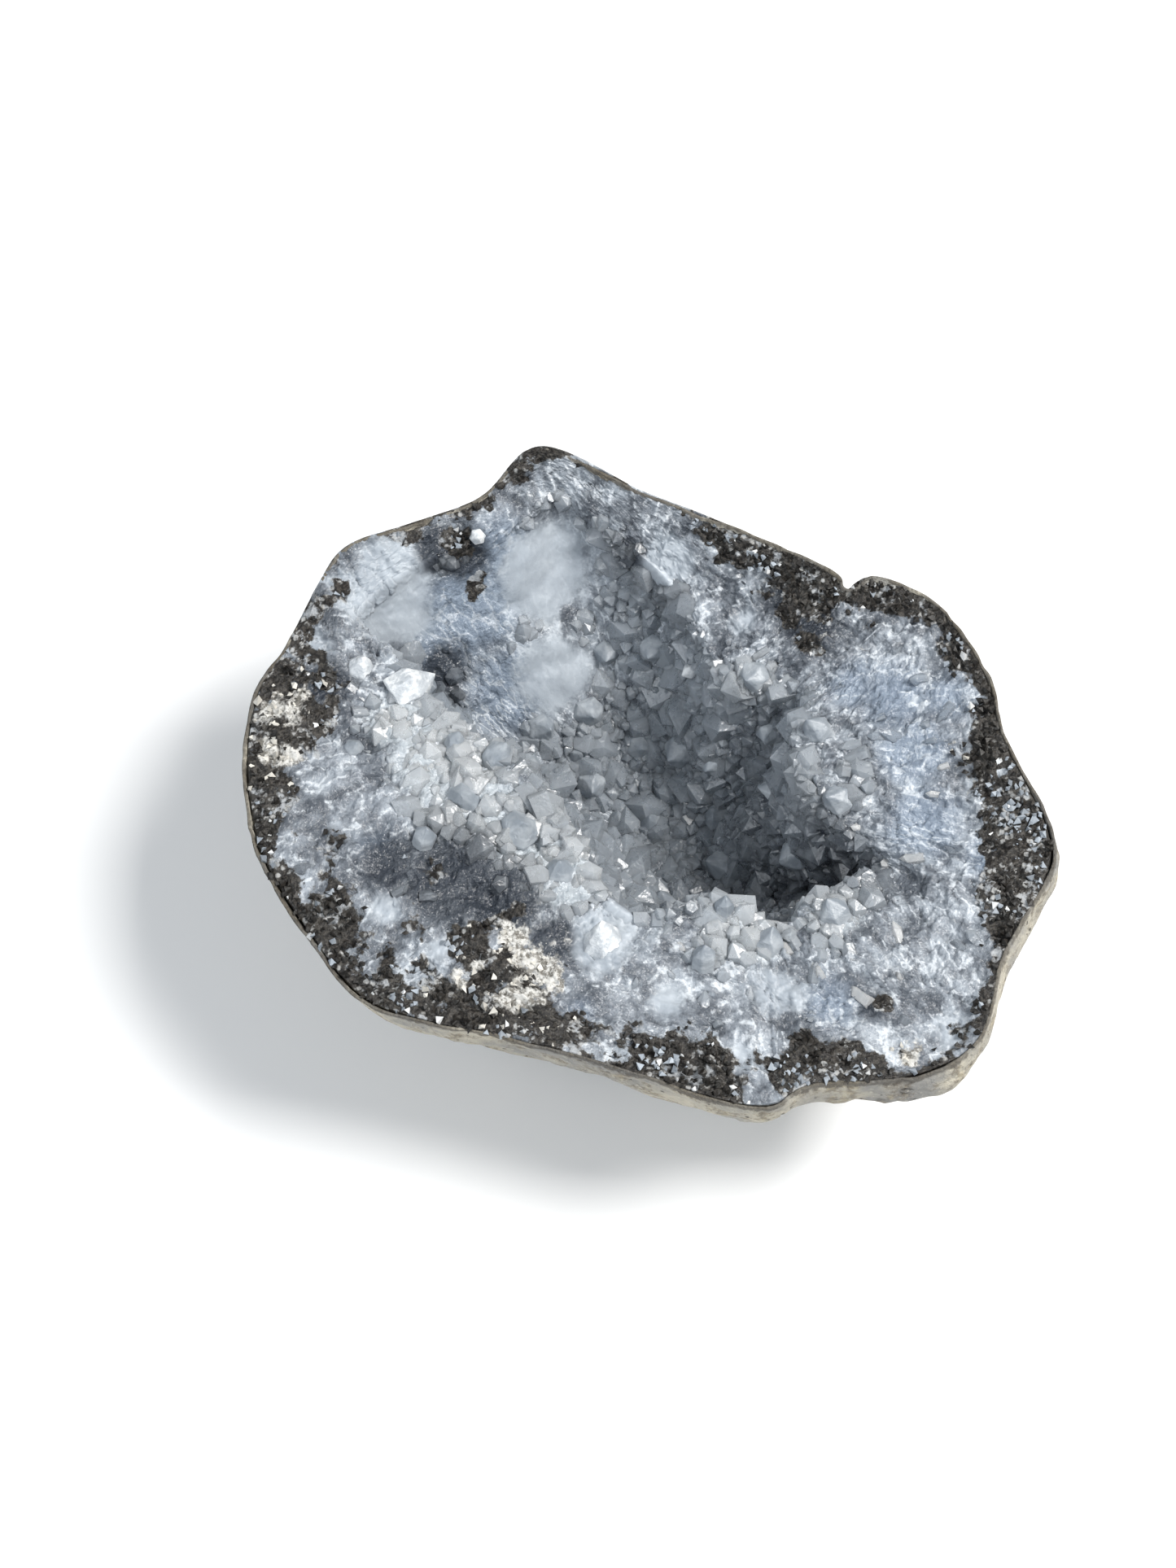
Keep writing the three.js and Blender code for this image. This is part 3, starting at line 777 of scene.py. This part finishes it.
# For each layer: spacing, lowest and highest level, seed, length over width, lean, share sunk, and chance.
grow("druse_large", 4.4, 0.06, 0.99, 3, 1.6, 0.24, 0.62, bare)
grow("druse_medium", 2.8, 0.04, 0.99, 4, 1.8, 0.28, 0.6, bare)
grow("druse_fine", 1.7, 0.0, 0.99, 5, 2.0, 0.4, 0.5, bare)
grow("lip_cluster", 2.9, -0.5, 0.05, 6, 1.8, 0.35, 0.52, on_lip)
grow("lip_cluster_small", 1.8, -0.55, 0.05, 7, 1.9, 0.4, 0.5, on_lip)


# The broken quartz of the face
# Snapped quartz columns that point in towards the hollow, bedded in the face and showing as ridges and
# splinters. There are fewer of them where the stone is milky or blue, and none where it is dark.

COLUMN_SPACING, COLUMN_TRIES = 2.6, 90000

draw = np.random.default_rng(8)
turn, level = spread(draw, COLUMN_SPACING, -0.95, 0.05, COLUMN_TRIES)
feet, outward = skin_frame(inside_at, turn, level)
fields = zones(turn, level, feet)
missing = 0.6 + fields["dark"] + 0.4 * fields["milky"] + 0.35 * fields["blue"] + fields["edge"]
kept = draw.random(len(turn)) > missing
turn, level, feet, outward = turn[kept], level[kept], feet[kept], outward[kept]
fields = {stuff: field[kept] for stuff, field in fields.items()}
count = len(turn)
inward = unit(inside_at(turn, np.clip(level + 0.05, -1, 0.2)) - feet)
axis = unit(inward + outward * draw.uniform(0.0, 0.5, (count, 1)) + 0.3 * draw.normal(size=(count, 3)))
widths = draw.uniform(0.35, 0.85, count)
points, triangles, heights = stand(six_sided(draw, count, SNAPPED_DROP), SIX_SIDED, feet - outward * 0.3,
                                   axes_for(axis, draw.uniform(0, 6, count)), widths,
                                   widths * draw.uniform(2.8, 5.0, count), np.full(count, 0.5))
tint = tint_of(draw, fields)
white = draw.random((count, 1)) < 0.08 + 0.2 * fields["smoky_and_shade"][:, None]
tint = np.repeat(np.where(white, TINT_WHITE, tint), CORNERS, axis=0)
piece = build("face_columns", settle(points), triangles, druse_finish, tint=tint, root=1 - heights)
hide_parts(STONE)


# The grains of the dark band
# Crumbs of iron-black matrix, grey quartz and white and cream chalcedony, broken through with the band.
# They lie half sunk in the face where the band or a cream patch is, and the black ones keep together in
# clusters.

GRAIN_SPACING, GRAIN_TRIES = 0.8, 160000
GRAIN_SIZES = (0.22, 0.55)
GRAIN_CLUSTER = 3.2
GRAIN_DUST = (0.45, 0.45, 0.44, 1)

grains = Finish("matrix_grains", {"IOR": 1.5, "Specular IOR Level": 0.35})
here = grains.millimetres()
speckle = grains.noise(here, 0.5, 3.0)
dusty = grains.mix(grains.step(speckle, 0.5, 0.62) * 0.07, grains.colour("tint"), GRAIN_DUST)
grains_finish = grains.feed(base_color=dusty, roughness=0.3 + 0.4 * speckle,
                            normal=grains.bump(speckle, 0.00015))

CHIP = np.array([[1, 0, 0], [-1, 0, 0], [0, 1, 0], [0, -1, 0], [0, 0, 1], [0, 0, 0]], float)
CHIP_FACES = np.array([[0, 2, 4], [2, 1, 4], [1, 3, 4], [3, 0, 4],
                       [2, 0, 5], [1, 2, 5], [3, 1, 5], [0, 3, 5]])

draw = np.random.default_rng(9)
turn, level = spread(draw, GRAIN_SPACING, -0.985, 0.0, GRAIN_TRIES)
feet, outward = skin_frame(inside_at, turn, level)
fields = zones(turn, level, feet)
kept = draw.random(len(turn)) < 1.6 * np.maximum(fields["dark"], fields["cream"]) - 0.65
kept &= (fields["edge"] < 0.75) & (draw.random(len(turn)) > fields["cream"] * 0.5)
feet, outward = feet[kept], outward[kept]
fields = {stuff: field[kept] for stuff, field in fields.items()}
count = len(feet)
shapes = CHIP + draw.uniform(-0.35, 0.35, (count, 6, 3))
size = draw.uniform(*GRAIN_SIZES, count)
frames = axes_for(unit(outward + 0.6 * draw.normal(size=(count, 3))), draw.uniform(0, 6, count))
points, triangles, _ = stand(shapes, CHIP_FACES, feet + outward * 0.15, frames, size, size * 1.1,
                             np.full(count, 0.3))
pick = draw.random(count)
patchy = cloud(feet, GRAIN_CLUSTER, 91)
tint = np.where((pick > 0.92)[:, None], TINT_WHITE, TINT_CLEAR)
tint = tint * draw.uniform(0.5, 1.0, (count, 1))
sooty = pick < 0.82 + (patchy - 0.5) * 2.6
tint = np.where(sooty[:, None], TINT_SOOT * draw.uniform(0.5, 2.5, (count, 1)), tint)
creamy = draw.random(count) < fields["cream"] * 0.9
tint = np.where(creamy[:, None], TINT_CREAM * draw.uniform(0.8, 1.5, (count, 1)), tint)
piece = build("band_grains", settle(points), triangles, grains_finish,
              tint=np.repeat(tint, len(CHIP), axis=0))
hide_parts(STONE)


# The large crystals
# Single quartz crystals, each in the place, size and direction of its CAD node: six prism faces and six
# faces of the point at their own distances from the middle, softened edges, and fine growth lines across
# the prism.

CRYSTAL_DEEP = (0.30, 0.34, 0.385, 1)
CRYSTAL_PALE = (0.58, 0.62, 0.655, 1)
CURD_GREY = (0.44, 0.47, 0.50, 1)
CURD_WHITE = (0.76, 0.78, 0.79, 1)
CRYSTAL_ROWS, CRYSTAL_COLUMNS = 30, 60
SHARPNESS = 30
POINT_SLOPE = math.radians(38)
FLAT_REACH = 0.866
GROWTH_LINES, DENT_SIZE = 9, 1.1

large = Finish("large_quartz", {"IOR": 1.54, "Transmission Weight": 0.35})
here = large.millimetres()
wisps = large.noise(here, 2.2, 5.0, 0.6)
body = large.mix(large.step(wisps + 0.35 * large.field("root"), 0.45, 0.85), CRYSTAL_DEEP, CRYSTAL_PALE)
large_finish = large.feed(base_color=body, roughness=0.28 + 0.3 * wisps,
                          normal=large.bump(large.noise(here, 0.8, 3.0), 0.00012))

milky = Finish("milky_quartz", {"IOR": 1.54, "Subsurface Weight": 0.3, "Subsurface Scale": 0.002,
                                "Subsurface Radius": (1, 1, 1)})
here = milky.millimetres()
curd = milky.noise(here, 1.4, 5.0, 0.65)
milky_finish = milky.feed(base_color=milky.mix(milky.step(curd, 0.4, 0.65), CURD_GREY, CURD_WHITE),
                          roughness=0.4 + 0.35 * curd,
                          normal=milky.bump(curd, 0.0004, milky.flakes(here, 0.6, 0.3)))


def cad_crystal(node):
    """Foot, axis, radius and length of a CAD crystal in millimetres. Its flat root is the only set of six
    triangles that face the same way, so the axis is opposite to theirs, and the tip is the farthest point
    along it."""
    mesh = frame["nodes"][node].data
    corners = np.empty(len(mesh.vertices) * 3)
    mesh.vertices.foreach_get("co", corners)
    corners = corners.reshape(-1, 3) * 1000
    index = np.empty(len(mesh.loops), int)
    mesh.loops.foreach_get("vertex_index", index)
    faces = corners[index.reshape(-1, 3)]
    normals = unit(np.cross(faces[:, 1] - faces[:, 0], faces[:, 2] - faces[:, 0]))
    alike = normals @ normals.T > 0.9995
    root = alike[alike.sum(axis=1).argmax()]
    axis = -unit(normals[root].mean(axis=0)[None])[0]
    foot = np.unique(faces[root].reshape(-1, 3).round(3), axis=0)
    foot = (foot.min(axis=0) + foot.max(axis=0)) / 2
    away = corners - foot
    along = away @ axis
    reach = np.linalg.norm(away - along[:, None] * axis, axis=1)
    side = away[reach.argmax()] - along[reach.argmax()] * axis
    return foot, axis, side / np.linalg.norm(side), reach.max(), along.max()


def quartz(node, seed, finish):
    """A large crystal. Its surface is, in each direction from its middle, a soft minimum of the distances
    to the planes of its faces: one over the high-power mean of direction times normal over distance."""
    draw = np.random.default_rng(seed)
    foot, axis, side, radius, length = cad_crystal(node)
    middle = 0.4 * length
    angle = (np.arange(6) + 0.5) * math.pi / 3
    around = np.stack([np.cos(angle), np.sin(angle), np.zeros(6)], axis=1)
    steep = POINT_SLOPE + draw.uniform(-0.05, 0.05)
    pointed = around * math.cos(steep) + [0, 0, math.sin(steep)]
    prism_gap = radius * FLAT_REACH * draw.uniform(0.82, 1.0, 6)
    point_gap = (length - middle) * math.sin(steep) * draw.uniform(0.86, 1.0, 6)
    planes = np.concatenate([around, pointed, [[0, 0, -1]]])
    gaps = np.concatenate([prism_gap, point_gap, [middle]])
    polar, turn = np.meshgrid(np.linspace(0.02, math.pi - 0.02, CRYSTAL_ROWS),
                              np.arange(CRYSTAL_COLUMNS) / CRYSTAL_COLUMNS * 2 * math.pi, indexing="ij")
    polar, turn = polar.ravel(), turn.ravel()
    way = np.stack([np.sin(polar) * np.cos(turn), np.sin(polar) * np.sin(turn), np.cos(polar)], axis=1)
    way = np.concatenate([way, [[0, 0, 1], [0, 0, -1]]])
    nearness = np.clip(way @ planes.T / gaps, 1e-4, None)
    reach = (nearness ** SHARPNESS).sum(axis=1) ** (-1 / SHARPNESS)
    local = way * reach[:, None]
    lines = np.sin(local[:, 2] * GROWTH_LINES + 2 * cloud(local + seed, 2.0, 97))
    lines = lines * (np.abs(way[:, 2]) < 0.75)
    dents = chips(local + seed * 7.0, DENT_SIZE, 101)[0]
    local *= (1 + (0.006 * lines + 0.02 * dents))[:, None]
    directions = np.stack([side, np.cross(axis, side), axis])
    points = foot + axis * middle + local @ directions
    height = np.clip((local[:, 2] + middle) / length, 0, 1)
    piece = build("quartz_" + node, points / 1000, wrap(CRYSTAL_ROWS, CRYSTAL_COLUMNS, True), finish,
                  root=1 - height)
    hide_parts(node)


for seed, part in enumerate(frame["record"]["subparts"]):
    if part["material_slot"] == "clear_quartz":
        quartz(part["node"], seed, large_finish)
    elif part["material_slot"] == "milky_quartz":
        quartz(part["node"], seed, milky_finish)


# The floor, the lights and the camera
# A pale floor, one soft key light high on the right, a weak fill from the left, and an even pale sky. The
# camera looks down into the hollow from the stone's low side.

low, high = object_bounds()
size = (high - low).length
middle = (low + high) / 2

LIGHTS_AWAY = 5
LOOK_DOWN = math.radians(60)
CAMERA_AWAY = 0.28
SKY = (0.92, 0.96, 1.0, 1)

paper = Finish("pale_floor", {"Base Color": (0.86, 0.86, 0.86, 1), "Roughness": 0.9})
sheet = bpy.data.meshes.new("floor")
reach = 12 * size
sheet.from_pydata([(-reach, -reach, 0), (reach, -reach, 0), (reach, reach, 0), (-reach, reach, 0)], [],
                  [(0, 1, 2, 3)])
sheet.materials.append(paper.material)
floor = bpy.data.objects.new("floor", sheet)
bpy.context.scene.collection.objects.link(floor)


def soft_light(name, direction, width, watts, colour):
    """A square lamp that faces the stone's middle from the given direction."""
    lamp = bpy.data.lights.new(name, "AREA")
    lamp.size = width
    lamp.energy = watts
    lamp.color = colour
    light = bpy.data.objects.new(name, lamp)
    light.location = middle + Vector(direction).normalized() * LIGHTS_AWAY * size
    light.rotation_euler = (middle - light.location).to_track_quat("-Z", "Y").to_euler()
    bpy.context.scene.collection.objects.link(light)


soft_light("key", (0.65, 0.0, 1.0), 1.8 * size, 5.4, (1.0, 0.985, 0.96))
soft_light("fill", (-0.8, -0.7, 0.9), 3.5 * size, 2.2, (0.9, 0.95, 1.0))

sky = bpy.data.worlds.new("pale_sky")
sky.use_nodes = True
sky.node_tree.nodes["Background"].inputs["Color"].default_value = SKY
sky.node_tree.nodes["Background"].inputs["Strength"].default_value = 0.36
bpy.context.scene.world = sky
bpy.context.scene.view_settings.view_transform = "Standard"

lens = bpy.data.cameras.new("camera")
lens.lens = 55.6
lens.sensor_width = 36
camera = bpy.data.objects.new("camera", lens)
aim = middle + Vector((-0.0065, 0.0051, -0.0005))
camera.location = aim + CAMERA_AWAY * Vector((0, -math.cos(LOOK_DOWN), math.sin(LOOK_DOWN)))
camera.rotation_euler = (aim - camera.location).to_track_quat("-Z", "Y").to_euler()
bpy.context.scene.collection.objects.link(camera)
bpy.context.scene.camera = camera
